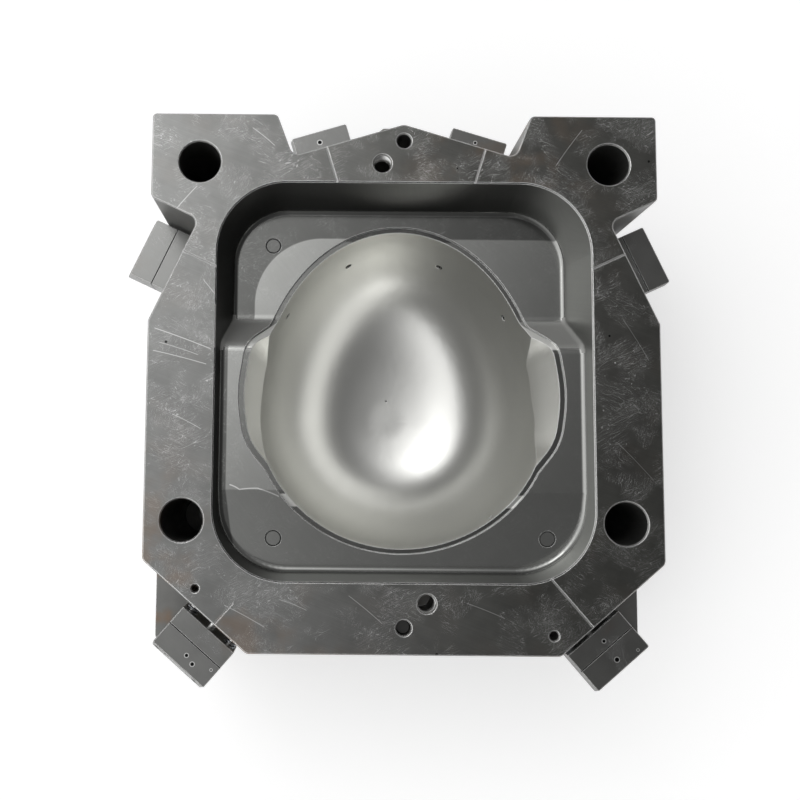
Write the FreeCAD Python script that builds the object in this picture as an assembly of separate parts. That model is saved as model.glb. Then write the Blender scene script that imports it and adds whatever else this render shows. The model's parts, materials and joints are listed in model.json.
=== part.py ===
import FreeCAD, Part

import math
import os

from FreeCAD import Vector as V

# Cavity half of a mould for a helmet shell, in millimetres.
# The origin is the centre of the locating ring on the clamping face at the back.
# Z runs up to the parting face, Y towards the peak of the block's roof.
# A depth is measured down from the parting face.

# Plate stack
PLATE_W = 500.0
PLATE_L = 528.0
BLOCK_H = 240.0
CLAMP_T = 36.0
CLAMP_LEDGE = 30.0
FACE_Z = CLAMP_T + BLOCK_H
EDGE_BREAK = 1.0
NEAR = 0.01  # slack when edges are picked by their place

# Outline of the parting face
ROOF_ANGLE = 73.25
ROOF_DIST = 243.8
ROOF_NOSE_R = 10.0
EAR_IN_X = 126.0
NOTCH_LEAN = 20.35
SIDE_ANGLE = 25.0
SIDE_DIST = 250.0
SIDE_NOTCH_V = 56.4
CORNER_ANGLE = -49.0
CORNER_DIST = 297.0
CORNER_DEPTH = 70.0
INNER_CORNER_R = 9.0
CORNER_R = 4.0
EAR_CORNER_R = 6.0
CHAMFER_CORNER_R = 8.0

# Round lifting boss below the roof's nose
BOSS_R = 29.0
BOSS_Y = 252.0
BOSS_DEPTH = 55.0
BOSS_FLAT = 5.0
LIFT_R = 13.25
LIFT_L = 45.0
LIFT_DEPTH = 140.0

# Pocket with drafted walls around the shell's edge
POCKET_X = 184.0
POCKET_TOP = 195.0
POCKET_BOTTOM = 196.0
POCKET_R = 70.0
POCKET_DRAFT = 14.0
DEEP_FLOOR = 50.0
SHELF_FLOOR = 16.0
FOOT_FLOOR = 31.0
RAMP_TOP_Y = 35.0
RAMP_FOOT_Y = 66.0
RAMP_R = 15.0
SHELF_END_Y = -109.0
FLOOR_FILLET = 5.0

# Bowl that forms the outside of the shell
BOWL_X = 144.5
BOWL_FRONT = 187.6
BOWL_BACK = 140.4
BOWL_Y = -26.0
CROWN_WALL = 35.0
BOWL_DEPTH = BLOCK_H - CROWN_WALL
BOWL_LIP = 40.0
BOWL_POWER = 2.5
BAND_W = 5.0
BAND_DROP = 3.0

# Ear scoops, outlined at the outer edge of the band
EAR_POINTS = ((100.0, 91.2), (155.5, 39.5), (164.2, -14.0), (156.8, -62.0), (100.0, -134.0))
EAR_RADII = (0.0, 45.0, 150.0, 60.0, 0.0)
EAR_DRAFT = 14.2
EAR_BOTTOM = 126.0
EAR_RUN_OUT = 90.0
EAR_LEAST_R = 8.0

# Guide bushes
GUIDE_PLACES = ((-202.3, 214.8), (202.3, 214.8), (-213.2, -138.4), (213.2, -138.4))
GUIDE_R = 20.0
GUIDE_RELIEF = 0.6
BUSH_R = 27.0
BUSH_FLANGE_R = 30.0
BUSH_FLANGE_T = 8.0
BUSH_L = 100.0

# Holes in the parting face
TAPPED_R = 8.75
TAPPED_L = 45.0
TOP_TAPPED = (-21.4, 214.2)
BOTTOM_TAPPED = (21.9, -215.5)
DOWEL_R = 7.0
DOWEL_L = 30.0
TOP_DOWEL_Y = 237.4
BOTTOM_DOWEL_Y = -238.4
DOWEL_SUNK = 8.0
SMALL_TAPPED = (-198.7, -203.0)
SMALL_TAPPED_R = 3.4
LARGE_TAPPED = (142.6, -244.5)
LARGE_TAPPED_R = 4.25
CORNER_TAPPED_L = 25.0
COUNTERSINK = 1.2

# Plugs in the pocket floor
PLUG_PLACES = ((-131.5, 145.7), (-126.4, -156.4), (144.0, -155.0))
PLUG_R = 7.8
PLUG_GAP = 0.2
PLUG_L = 40.0

# Match lines scribed from each side core to the pocket
LINE_W = 1.4
LINE_DEPTH = 0.7
LINE_L = 80.0
SHORT_LINE = ("bottom_left", 27.0)

# Cooling channels
CHANNEL_YS = (30.0, -30.0, -90.0, -200.0)
CHANNEL_R = 6.0
CHANNEL_RISE = 16.0
COOL_PLUG_R = 9.0
COOL_PLUG_L = 14.0
COOL_PLUG_SUNK = 3.0
COOL_KEY_R = 4.0
COOL_KEY_L = 6.0

# Sprue bush and locating ring
GATE_R = 1.0
GATE_LAND = 4.0
SPRUE_SHANK_R = 12.0
SPRUE_HEAD_R = 25.0
SPRUE_HEAD_T = 20.0
SPRUE_IN_R = 2.0
SPRUE_OUT_R = 4.0
SPRUE_TIP = 8.0
NOZZLE_SEAT_R = 15.5
NOZZLE_SINK = 4.0
RING_R = 62.5
RING_BORE_R = 18.0
SPIGOT_R = 60.0
RING_RECESS = 5.0
RING_PROUD = 10.0
RING_LAND_W = 1.5
RING_GROOVE_W = 1.1
RING_GROOVE_DEPTH = 1.0
RING_SCREW_PCR = 48.0
RING_SCREWS = 4

# Fasteners: shank radius, head radius, head height
M8 = (4.0, 6.5, 8.0)
M16 = (8.0, 12.0, 16.0)
M5 = (2.5, 4.25, 5.0)
THREAD_GAP = 0.05
HEAD_GAP = 0.4
KEY_SHARE = 0.45
RING_SCREW_L = 20.0
CLAMP_CORNER = (150.0, 225.0)
CLAMP_SIDE_X = 225.0
CLAMP_SCREW_PLACES = [(i * CLAMP_CORNER[0], j * CLAMP_CORNER[1]) for i in (-1, 1) for j in (-1, 1)]
CLAMP_SCREW_PLACES += [(i * CLAMP_SIDE_X, 0.0) for i in (-1, 1)]
CLAMP_SCREW_L = 50.0
CLAMP_SCREW_SUNK = 2.0
PLATE_DOWEL_PLACES = ((190.0, 80.0), (-190.0, -70.0))
PLATE_DOWEL_R = 8.0
PLATE_DOWEL_L = 50.0

# Side cores: angle and distance of the flank, pin's offset along it, pin's depth, length.
# The top pins are set off from the roof's notch, the others from the middle of their flank.
TOP_CORE_IN = 34.7
STATIONS = {
    "top": (ROOF_ANGLE, ROOF_DIST, TOP_CORE_IN, 107.0, 63.0),
    "middle": (SIDE_ANGLE, SIDE_DIST, 21.4, 85.0, 66.0),
    "bottom": (CORNER_ANGLE, CORNER_DIST, -19.3, 40.0, 67.0),
}
# Gap to the flank at rest, how far the blocks and the match line stand off the pin's line
CORE_PLACES = {
    "top_left": (13.5, 9.0, 0.0),
    "top_right": (13.0, -1.0, -4.0),
    "middle_left": (15.3, -0.5, 0.0),
    "middle_right": (19.4, -6.3, 0.0),
    "bottom_left": (12.5, 0.0, 0.0),
    "bottom_right": (12.5, 0.0, 0.0),
}
STROKE = 10.0
CORE_H = 28.0
RETAINER_T = 20.0
HEEL_T = 25.0
HEEL_ANGLE = 20.0
HEEL_CORNER_R = 2.0
CORE_EDGE = 0.6
PIN_R = 4.0
PIN_TIP_R = 2.5
PIN_HEAD_R = 7.0
PIN_HEAD_T = 6.0
PIN_TIP_BORE = 30.0
PIN_STEP_SPARE = 2.0
PIN_PROTRUDE = 3.0
RUN_GAP = 0.05
JOIN_V = 15.0
JOIN_RISE = 8.0
JOIN_SEAT = 9.0
JOIN_THREAD = 14.0
BOLT_V = 25.0
BOLT_R = 4.0
BOLT_HEAD_R = 6.5
BOLT_HEAD_T = 5.5
BOLT_THREAD_R = 3.0
BOLT_THREAD_L = 12.0
SPRING_OUT_R = 6.6
SPRING_IN_R = 4.5
SPRING_POCKET_R = 7.0
SPRING_SINK = 10.0
SPRING_IN_BLOCK = 8.0
SPRING_END = 0.3


def cylinder(radius, length, at, axis=V(0, 0, 1)):
    """A solid cylinder from a point along an axis."""
    return Part.makeCylinder(radius, length, at, axis)


def cone(radius_1, radius_2, length, at, axis=V(0, 0, 1)):
    """A solid cone from a point along an axis."""
    return Part.makeCone(radius_1, radius_2, length, at, axis)


def rounded_polygon(points, radii, z):
    """A closed wire through plan points, each corner rounded by its radius."""
    count = len(points)
    corners = [V(x, y, z) for x, y in points]
    starts = []
    ends = []
    middles = []
    for i, corner in enumerate(corners):
        back = (corners[i - 1] - corner).normalize()
        ahead = (corners[(i + 1) % count] - corner).normalize()
        half = back.getAngle(ahead) / 2
        if radii[i] == 0:
            starts.append(corner)
            ends.append(corner)
            middles.append(None)
            continue
        tangent = radii[i] / math.tan(half)
        to_centre = (back + ahead).normalize()
        centre = corner + to_centre * (radii[i] / math.sin(half))
        starts.append(corner + back * tangent)
        ends.append(corner + ahead * tangent)
        middles.append(centre - to_centre * radii[i])
    edges = []
    for i in range(count):
        if middles[i] is not None:
            edges.append(Part.Arc(starts[i], middles[i], ends[i]).toShape())
        edges.append(Part.LineSegment(ends[i], starts[(i + 1) % count]).toShape())
    return Part.Wire(edges)


def prism(wire, height):
    """Extrude a flat closed wire upwards."""
    return Part.Face(wire).extrude(V(0, 0, height))


def normal(angle):
    """Unit vector of a plan angle in degrees."""
    return V(math.cos(math.radians(angle)), math.sin(math.radians(angle)), 0)


def line_point(angle, distance, offset):
    """Plan point on a flank: its distance along the normal and offset along the flank."""
    n = normal(angle)
    return n * distance + V(-n.y, n.x, 0) * offset


def mirrored_loop(right):
    """Close the right half's corners (point, radius) with their mirror images."""
    left = [((-x, y), r) for (x, y), r in reversed(right) if x > 0]
    loop = right + left
    return [p for p, r in loop], [r for p, r in loop]


def roof_notch():
    """The corner between the roof's right flank and the ear beside it."""
    half_l = PLATE_L / 2
    roof = normal(ROOF_ANGLE)
    lean = math.tan(math.radians(NOTCH_LEAN))
    y = (ROOF_DIST - roof.x * (EAR_IN_X - half_l * lean)) / (roof.y + roof.x * lean)
    return V(EAR_IN_X - (half_l - y) * lean, y, 0)


def block_corners(with_chamfers):
    """Corners of the block's outline, clockwise from the roof's peak."""
    half_w = PLATE_W / 2
    half_l = PLATE_L / 2
    roof = normal(ROOF_ANGLE)
    side = normal(SIDE_ANGLE)
    corner = normal(CORNER_ANGLE)
    notch = roof_notch()
    side_notch = line_point(SIDE_ANGLE, SIDE_DIST, SIDE_NOTCH_V)
    ear_y = side_notch.y + (half_w - side_notch.x) * math.tan(math.radians(SIDE_ANGLE))
    right = [
        ((0.0, ROOF_DIST / roof.y), ROOF_NOSE_R),
        ((notch.x, notch.y), INNER_CORNER_R),
        ((EAR_IN_X, half_l), EAR_CORNER_R),
        ((half_w, half_l), CORNER_R),
        ((half_w, ear_y), EAR_CORNER_R),
        ((side_notch.x, side_notch.y), INNER_CORNER_R),
        ((half_w, (SIDE_DIST - side.x * half_w) / side.y), CORNER_R),
    ]
    if with_chamfers:
        right.append(((half_w, (CORNER_DIST - corner.x * half_w) / corner.y), CHAMFER_CORNER_R))
        right.append((((CORNER_DIST + corner.y * half_l) / corner.x, -half_l), CHAMFER_CORNER_R))
    else:
        right.append(((half_w, -half_l), CORNER_R))
    return mirrored_loop(right)


def block_body():
    """The block's outside: chamfered corners in front, square ones behind, and the boss."""
    points, radii = block_corners(True)
    front = prism(rounded_polygon(points, radii, FACE_Z - CORNER_DEPTH), CORNER_DEPTH)
    rim = [e for e in front.Edges if abs(e.BoundBox.ZMin - FACE_Z) < NEAR]
    front = front.makeChamfer(EDGE_BREAK, rim)
    points, radii = block_corners(False)
    rear = prism(rounded_polygon(points, radii, CLAMP_T), BLOCK_H - CORNER_DEPTH)
    boss = cylinder(BOSS_R, BLOCK_H - BOSS_DEPTH, V(0, BOSS_Y, CLAMP_T))
    boss_front = BOSS_Y + BOSS_R - BOSS_FLAT
    flat = Part.makeBox(2 * BOSS_R, BOSS_R, BLOCK_H, V(-BOSS_R, boss_front, CLAMP_T))
    return rear.fuse([front, boss.cut(flat)]).removeSplitter()


def pocket_wire(depth, grow=0.0):
    """The pocket's rounded outline at a depth, narrowed by the draft."""
    inset = depth * math.tan(math.radians(POCKET_DRAFT)) - grow
    x = POCKET_X - inset
    top = POCKET_TOP - inset
    bottom = inset - POCKET_BOTTOM
    r = POCKET_R - inset
    points = ((x, top), (x, bottom), (-x, bottom), (-x, top))
    return rounded_polygon(points, (r, r, r, r), FACE_Z - depth)


def floor_wire():
    """Side profile of the pocket floor: deep at the front, shelves, sloping foot."""
    above = FACE_Z + EDGE_BREAK
    front = POCKET_TOP + POCKET_R
    foot_y = -POCKET_BOTTOM
    slope = (FOOT_FLOOR - SHELF_FLOOR) / (SHELF_END_Y - foot_y)
    back = foot_y - POCKET_R
    back_depth = FOOT_FLOOR + slope * POCKET_R
    points = (
        (front, above),
        (front, FACE_Z - DEEP_FLOOR),
        (RAMP_FOOT_Y, FACE_Z - DEEP_FLOOR),
        (RAMP_TOP_Y, FACE_Z - SHELF_FLOOR),
        (SHELF_END_Y, FACE_Z - SHELF_FLOOR),
        (back, FACE_Z - back_depth),
        (back, above),
    )
    radii = (0, 0, RAMP_R, RAMP_R, 0, 0, 0)
    flat = rounded_polygon(points, radii, 0)
    flat.rotate(V(0, 0, 0), V(1, 1, 1), 120)
    flat.translate(V(-PLATE_W / 2, 0, 0))
    return flat


def pocket_void():
    """Everything that is cut away above the pocket floor."""
    walls = Part.makeLoft([pocket_wire(-EDGE_BREAK), pocket_wire(DEEP_FLOOR + EDGE_BREAK)], True, True)
    section = Part.Face(floor_wire())
    over_floor = section.extrude(V(PLATE_W, 0, 0))
    void = walls.common(over_floor)
    below = FACE_Z - SHELF_FLOOR / 2
    wall_feet = [
        e
        for e in void.Edges
        if e.BoundBox.ZMax < below and any(is_wall(f) for f in void.ancestorsOfType(e, Part.Face))
        and not all(is_wall(f) for f in void.ancestorsOfType(e, Part.Face))
    ]
    return void.makeFillet(FLOOR_FILLET, wall_feet)


def is_wall(face):
    """Whether a face of the pocket is one of its drafted walls."""
    u_0, u_1, v_0, v_1 = face.ParameterRange
    tilt = abs(face.normalAt((u_0 + u_1) / 2, (v_0 + v_1) / 2).z)
    return abs(tilt - math.sin(math.radians(POCKET_DRAFT))) < 0.02


def bowl_scale(depth):
    """Share of the bowl's lip size that is left at a depth."""
    t = max(0.0, (depth - BOWL_LIP) / (BOWL_DEPTH - BOWL_LIP))
    return (1 - t**BOWL_POWER) ** (1 / BOWL_POWER)


def bowl_half(reach, grow=0.0):
    """One half of the bowl: a revolved wall, stretched to its reach along Y."""
    steps = 12
    curve = []
    for i in range(steps + 1):
        angle = math.pi / 2 * i / steps
        across = math.cos(angle) ** (2 / BOWL_POWER) if i < steps else 0.0
        down = math.sin(angle) ** (2 / BOWL_POWER)
        depth = BOWL_LIP + (BOWL_DEPTH - BOWL_LIP) * down
        curve.append(V(BOWL_X * across, 0, FACE_Z - depth))
    wall = Part.BSplineCurve()
    wall.interpolate(Points=curve, InitialTangent=V(0, 0, -1), FinalTangent=V(-1, 0, 0))
    top = FACE_Z + EDGE_BREAK
    edges = [
        wall.toShape(),
        Part.LineSegment(curve[-1], V(0, 0, top)).toShape(),
        Part.LineSegment(V(0, 0, top), V(BOWL_X, 0, top)).toShape(),
        Part.LineSegment(V(BOWL_X, 0, top), curve[0]).toShape(),
    ]
    turn = 180 if reach > 0 else -180
    half = Part.Face(Part.Wire(edges)).revolve(V(0, 0, 0), V(0, 0, 1), turn)
    stretch = FreeCAD.Matrix()
    stretch.scale(1, abs(reach) / BOWL_X, 1)
    half = half.transformGeometry(stretch)
    half.translate(V(0, BOWL_Y, 0))
    return half


def ear_wire(inset, z):
    """The right ear's outline, moved in by an inset."""
    lines = []
    for (x_1, y_1), (x_2, y_2) in zip(EAR_POINTS, EAR_POINTS[1:]):
        along = V(x_2 - x_1, y_2 - y_1, 0).normalize()
        inward = V(along.y, -along.x, 0)
        if inward.x > 0:
            inward = inward * -1
        lines.append((V(x_1, y_1, 0) + inward * inset, along))
    points = [(EAR_POINTS[0][0] - inset, lines[0][0].y)]
    for (p, d), (q, e) in zip(lines, lines[1:]):
        cross = d.x * e.y - d.y * e.x
        t = ((q.x - p.x) * e.y - (q.y - p.y) * e.x) / cross
        points.append((p.x + d.x * t, p.y + d.y * t))
    last, direction = lines[-1]
    points.append((EAR_POINTS[-1][0] - inset, last.y + direction.y * EAR_RUN_OUT))
    radii = [max(r - inset, EAR_LEAST_R) if r else 0.0 for r in EAR_RADII]
    return rounded_polygon(points, radii, z)


def both_sides(right):
    """A right-hand solid and its mirror image."""
    return [right, right.mirror(V(0, 0, 0), V(1, 0, 0))]


def bowl_void():
    """The bowl with its two ear scoops."""
    top = FACE_Z + EDGE_BREAK
    spread = math.tan(math.radians(EAR_DRAFT))
    upper = ear_wire(BAND_W - (SHELF_FLOOR + EDGE_BREAK) * spread, top)
    lower = ear_wire(BAND_W + (EAR_BOTTOM - SHELF_FLOOR) * spread, FACE_Z - EAR_BOTTOM)
    scoop = Part.makeLoft([upper, lower], True, True)
    halves = [bowl_half(BOWL_FRONT), bowl_half(-BOWL_BACK)]
    return halves[0].fuse(halves[1:] + both_sides(scoop))


def band_void(pocket):
    """The stepped band around the bowl, which follows the pocket floor."""
    depth = DEEP_FLOOR + FOOT_FLOOR
    bottom = FACE_Z - depth
    halves = []
    for reach, start in ((BOWL_FRONT, 0), (BOWL_BACK, 180)):
        wide = BOWL_X + BAND_W
        long = reach + BAND_W
        major = V(0, 1, 0) if long > wide else V(1, 0, 0)
        ellipse = Part.Ellipse(V(0, BOWL_Y, bottom), max(long, wide), min(long, wide))
        edge = ellipse.toShape()
        edge.rotate(V(0, BOWL_Y, bottom), V(0, 0, 1), 90 if major.y else 0)
        whole = prism(Part.Wire([edge]), depth)
        side = Part.makeBox(4 * wide, 2 * long, 2 * depth, V(-2 * wide, 0, bottom - EDGE_BREAK))
        side.translate(V(0, BOWL_Y if start == 0 else BOWL_Y - 2 * long, 0))
        halves.append(whole.common(side))
    ear = prism(ear_wire(0.0, bottom), depth)
    outline = halves[0].fuse(halves[1:] + both_sides(ear)).removeSplitter()
    lowered = pocket.copy()
    lowered.translate(V(0, 0, -BAND_DROP))
    return outline.common(lowered)


def face_holes():
    """Cutters for the holes in the parting face, each with a small countersink."""
    cutters = []
    holes = [
        (TOP_TAPPED, TAPPED_R, TAPPED_L),
        (BOTTOM_TAPPED, TAPPED_R, TAPPED_L),
        ((0.0, TOP_DOWEL_Y), DOWEL_R, DOWEL_L),
        ((0.0, BOTTOM_DOWEL_Y), DOWEL_R + THREAD_GAP, DOWEL_L),
        (SMALL_TAPPED, SMALL_TAPPED_R, CORNER_TAPPED_L),
        (LARGE_TAPPED, LARGE_TAPPED_R, CORNER_TAPPED_L),
    ]
    for place, r in ((p, GUIDE_R + GUIDE_RELIEF) for p in GUIDE_PLACES):
        holes.append((place, r, BLOCK_H - BUSH_L))
    for (x, y), r, length in holes:
        cutters.append(cylinder(r, length, V(x, y, FACE_Z - length)))
        cutters.append(cone(r, r + COUNTERSINK, COUNTERSINK, V(x, y, FACE_Z - COUNTERSINK)))
    return cutters


def bush_seat(x, y, gap=0.0):
    """A guide bush's outer form, from the back of the block."""
    body = cylinder(BUSH_R + gap, BUSH_L, V(x, y, CLAMP_T))
    flange = cylinder(BUSH_FLANGE_R + gap, BUSH_FLANGE_T, V(x, y, CLAMP_T))
    return body.fuse(flange)


def guide_bush(x, y):
    """A flanged guide bush with a lead-in at each end."""
    bore = cylinder(GUIDE_R, BUSH_L, V(x, y, CLAMP_T))
    lead = cone(GUIDE_R, GUIDE_R + EDGE_BREAK, EDGE_BREAK, V(x, y, CLAMP_T + BUSH_L - EDGE_BREAK))
    back = cone(GUIDE_R + EDGE_BREAK, GUIDE_R, EDGE_BREAK, V(x, y, CLAMP_T))
    return bush_seat(x, y).cut([bore, lead, back])


def cap_screw(size, length, at, axis, gap=0.0):
    """A socket cap screw: head behind the point, shank along the axis. A gap gives its hole."""
    shank_r, head_r, head_h = size
    shank = cylinder(shank_r + (THREAD_GAP if gap else 0), length, at, axis)
    head = cylinder(head_r + gap, head_h + gap, at - axis * (head_h + gap), axis)
    if gap:
        return shank.fuse(head)
    key = cylinder(head_r * KEY_SHARE, head_h / 2, at - axis * head_h, axis)
    return shank.fuse(head).cut(key)


def cool_plug(y, side, gap=0.0):
    """A sunk plug that closes one end of a cooling channel."""
    inward = V(-side, 0, 0)
    mouth = V(side * PLATE_W / 2, y, CLAMP_T + CHANNEL_RISE)
    if gap:
        return cylinder(COOL_PLUG_R + THREAD_GAP, COOL_PLUG_SUNK + COOL_PLUG_L, mouth, inward)
    start = mouth + inward * COOL_PLUG_SUNK
    key = cylinder(COOL_KEY_R, COOL_KEY_L, start, inward)
    return cylinder(COOL_PLUG_R, COOL_PLUG_L, start, inward).cut(key)


def wall_distance(angle, distance, offset, depth):
    """How far a pin's axis runs from the flank to the bowl's wall."""
    scale = bowl_scale(depth)
    start = line_point(angle, distance, offset)
    inward = normal(angle) * -1
    low = 0.0
    high = distance
    for _ in range(40):
        middle = (low + high) / 2
        p = start + inward * middle
        reach = BOWL_FRONT if p.y > BOWL_Y else BOWL_BACK
        inside = (p.x / (BOWL_X * scale)) ** 2 + ((p.y - BOWL_Y) / (reach * scale)) ** 2 < 1
        low, high = (low, middle) if inside else (middle, high)
    return high


class SideCore:
    """One sprung side core, drawn on the right with +X outwards and placed on its flank."""

    def __init__(self, station, side):
        self.angle, self.distance, pin_offset, self.depth, self.length = STATIONS[station]
        if station == "top":
            pin_offset += roof_notch().dot(normal(self.angle + 90))
        self.side = side
        self.name = station + "_" + side
        self.gap, shift, line_shift = CORE_PLACES[self.name]
        self.seat = self.gap + RETAINER_T
        self.offset = pin_offset + shift
        self.pin_v = -shift
        self.line_v = line_shift - shift
        self.wall = wall_distance(self.angle, self.distance, pin_offset, self.depth)
        self.bolt_places = [V(0, v, 0) for v in (-BOLT_V, BOLT_V)]
        self.join_places = [V(0, JOIN_V * way, JOIN_RISE * way) for way in (-1, 1)]

    def place(self, shape):
        """Turn a shape from the core's own frame onto its flank."""
        placed = shape.copy()
        placed.rotate(V(0, 0, 0), V(0, 0, 1), self.angle)
        foot = line_point(self.angle, self.distance, self.offset)
        placed.translate(V(foot.x, foot.y, FACE_Z - self.depth))
        if self.side == "left":
            placed = placed.mirror(V(0, 0, 0), V(1, 0, 0))
        return placed

    def rod(self, radius, start, end, at=V(0, 0, 0)):
        """A cylinder along the core's axis between two distances from the flank."""
        return cylinder(radius, end - start, V(start, at.y, at.z), V(1, 0, 0))

    def pin_rod(self, radius, start, end):
        """A cylinder on the pin's own line."""
        return self.rod(radius, start, end, V(0, self.pin_v, 0))

    def flank_cuts(self):
        """What the block loses at this core: pin bore, bolt threads, spring pockets, line."""
        step = PIN_TIP_BORE - self.wall
        length = SHORT_LINE[1] if self.name == SHORT_LINE[0] else LINE_L
        corner = V(-length, self.line_v - LINE_W / 2, self.depth - LINE_DEPTH)
        cuts = [
            self.pin_rod(PIN_R + RUN_GAP, step, EDGE_BREAK),
            self.pin_rod(PIN_TIP_R + RUN_GAP, -self.wall - PIN_TIP_BORE, step),
            Part.makeBox(length, LINE_W, 2 * LINE_DEPTH, corner),
        ]
        for at in self.bolt_places:
            cuts.append(self.rod(BOLT_THREAD_R + THREAD_GAP, -SPRING_SINK - BOLT_THREAD_L, 0, at))
            cuts.append(self.rod(SPRING_POCKET_R, -SPRING_SINK, self.gap, at))
        return [self.place(c) for c in cuts]

    def retainer(self):
        """The inner block, which holds the pin's head and the bolts' bores."""
        corner = V(self.gap, -self.length / 2, -CORE_H / 2)
        block = Part.makeBox(RETAINER_T, self.length, CORE_H, corner)
        block = block.makeChamfer(CORE_EDGE, block.Edges)
        cuts = [
            self.pin_rod(PIN_R + RUN_GAP, self.gap, self.seat),
            self.pin_rod(PIN_HEAD_R + RUN_GAP, self.seat - PIN_HEAD_T, self.seat),
        ]
        for at in self.bolt_places:
            cuts.append(self.rod(BOLT_R + RUN_GAP, self.gap, self.seat, at))
            cuts.append(self.rod(SPRING_POCKET_R, self.gap, self.gap + SPRING_IN_BLOCK, at))
        for at in self.join_places:
            cuts.append(self.rod(M5[0] + THREAD_GAP, self.seat - JOIN_THREAD, self.seat, at))
        return self.place(block.cut(cuts))

    def heel(self):
        """The outer block, its sloping back rounded at both ends."""
        top = self.seat + HEEL_T
        foot = top + CORE_H * math.tan(math.radians(HEEL_ANGLE))
        half = CORE_H / 2
        corners = [V(self.seat, 0, half), V(top, 0, half), V(foot, 0, -half), V(self.seat, 0, -half)]
        block = Part.Face(Part.makePolygon(corners + corners[:1])).extrude(V(0, self.length, 0))
        block.translate(V(0, -self.length / 2, 0))
        ends = [e for e in block.Edges if e.BoundBox.YLength < NEAR and e.BoundBox.XMin > top - NEAR]
        block = block.makeFillet(HEEL_CORNER_R, ends)
        flat = [e for e in block.Edges if e.BoundBox.ZLength < NEAR]
        block = block.makeChamfer(CORE_EDGE, flat)
        cuts = [self.rod(BOLT_HEAD_R + HEAD_GAP, self.seat, foot, at) for at in self.bolt_places]
        for at in self.join_places:
            cuts.append(self.rod(M5[0] + HEAD_GAP, self.seat, foot, at))
            cuts.append(self.rod(M5[1] + HEAD_GAP, self.seat + JOIN_SEAT, foot, at))
        return self.place(block.cut(cuts))

    def core_pin(self):
        """The stepped pin, its tip drawn back behind the bowl's wall."""
        tip = STROKE - PIN_PROTRUDE - self.wall
        step = PIN_TIP_BORE - self.wall + STROKE + PIN_STEP_SPARE
        parts = [
            self.pin_rod(PIN_TIP_R, tip, step),
            self.pin_rod(PIN_HEAD_R, self.seat - PIN_HEAD_T, self.seat),
        ]
        return self.place(self.pin_rod(PIN_R, step, self.seat).fuse(parts))

    def join_screws(self):
        """The screws that hold the two blocks together."""
        start = self.seat + JOIN_SEAT
        length = JOIN_SEAT + JOIN_THREAD
        screws = [cap_screw(M5, length, V(start, at.y, at.z), V(-1, 0, 0)) for at in self.join_places]
        return [self.place(screw) for screw in screws]

    def shoulder_bolts(self):
        """The bolts that the core slides on, screwed into the flank."""
        end = self.seat + BOLT_HEAD_T
        bolts = []
        for at in self.bolt_places:
            bolt = self.rod(BOLT_R, -SPRING_SINK, self.seat, at).fuse([
                self.rod(BOLT_THREAD_R, -SPRING_SINK - BOLT_THREAD_L, -SPRING_SINK, at),
                self.rod(BOLT_HEAD_R, self.seat, end, at),
            ])
            key = self.rod(BOLT_HEAD_R * KEY_SHARE, end - BOLT_HEAD_T / 2, end, at)
            bolts.append(self.place(bolt.cut(key)))
        return bolts

    def springs(self):
        """The return springs round the bolts, as plain sleeves."""
        start = SPRING_END - SPRING_SINK
        end = self.gap + SPRING_IN_BLOCK - SPRING_END
        sleeves = []
        for at in self.bolt_places:
            sleeve = self.rod(SPRING_OUT_R, start, end, at).cut(self.rod(SPRING_IN_R, start, end, at))
            sleeves.append(self.place(sleeve))
        return sleeves


def sprue_bush():
    """The sprue bush with its nozzle seat, tapered channel and gate tip."""
    seat = V(0, 0, RING_RECESS)
    tip_z = FACE_Z - BOWL_DEPTH - GATE_LAND
    head = cylinder(SPRUE_HEAD_R, SPRUE_HEAD_T, seat)
    shank = cylinder(SPRUE_SHANK_R, tip_z - RING_RECESS, seat)
    channel = cone(SPRUE_IN_R, SPRUE_OUT_R, tip_z - RING_RECESS - SPRUE_TIP, seat)
    tip = cone(SPRUE_OUT_R, GATE_R, SPRUE_TIP, V(0, 0, tip_z - SPRUE_TIP))
    ball = Part.makeSphere(NOZZLE_SEAT_R, V(0, 0, RING_RECESS + NOZZLE_SINK - NOZZLE_SEAT_R))
    return head.fuse(shank).cut([channel, tip, ball])


def sprue_void():
    """The room that the sprue bush and its gate need in the block and clamp plate."""
    tip_z = FACE_Z - BOWL_DEPTH - GATE_LAND
    return [
        cylinder(SPRUE_SHANK_R + THREAD_GAP, tip_z, V(0, 0, 0)),
        cylinder(GATE_R, 2 * GATE_LAND, V(0, 0, tip_z)),
        cylinder(SPRUE_HEAD_R + THREAD_GAP, RING_RECESS + SPRUE_HEAD_T, V(0, 0, 0)),
    ]


def ring_screw_places():
    """Centres of the locating ring's screws."""
    turn = 360 / RING_SCREWS
    return [normal(turn / 2 + turn * i) * RING_SCREW_PCR for i in range(RING_SCREWS)]


def ring_screw(place, gap=0.0):
    """One of the ring's screws, its head sunk in the ring."""
    seat = V(place.x, place.y, M8[2] + HEAD_GAP - RING_PROUD)
    return cap_screw(M8, RING_SCREW_L, seat, V(0, 0, 1), gap)


def locating_ring():
    """The ring that centres the mould on the machine."""
    flange = cylinder(RING_R, RING_PROUD, V(0, 0, -RING_PROUD))
    rim = [e for e in flange.Edges if e.BoundBox.ZMax < EDGE_BREAK - RING_PROUD]
    ring = flange.makeChamfer(EDGE_BREAK, rim).fuse(cylinder(SPIGOT_R, RING_RECESS, V(0, 0, 0)))
    hole = cylinder(RING_BORE_R, RING_PROUD + RING_RECESS, V(0, 0, -RING_PROUD))
    return ring.cut([hole] + [ring_screw(p, HEAD_GAP) for p in ring_screw_places()])


def clamp_screw(x, y, gap=0.0):
    """One of the screws that hold the block on the clamp plate."""
    seat = V(x, y, M16[2] + CLAMP_SCREW_SUNK)
    return cap_screw(M16, CLAMP_SCREW_L, seat, V(0, 0, 1), gap)


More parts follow.
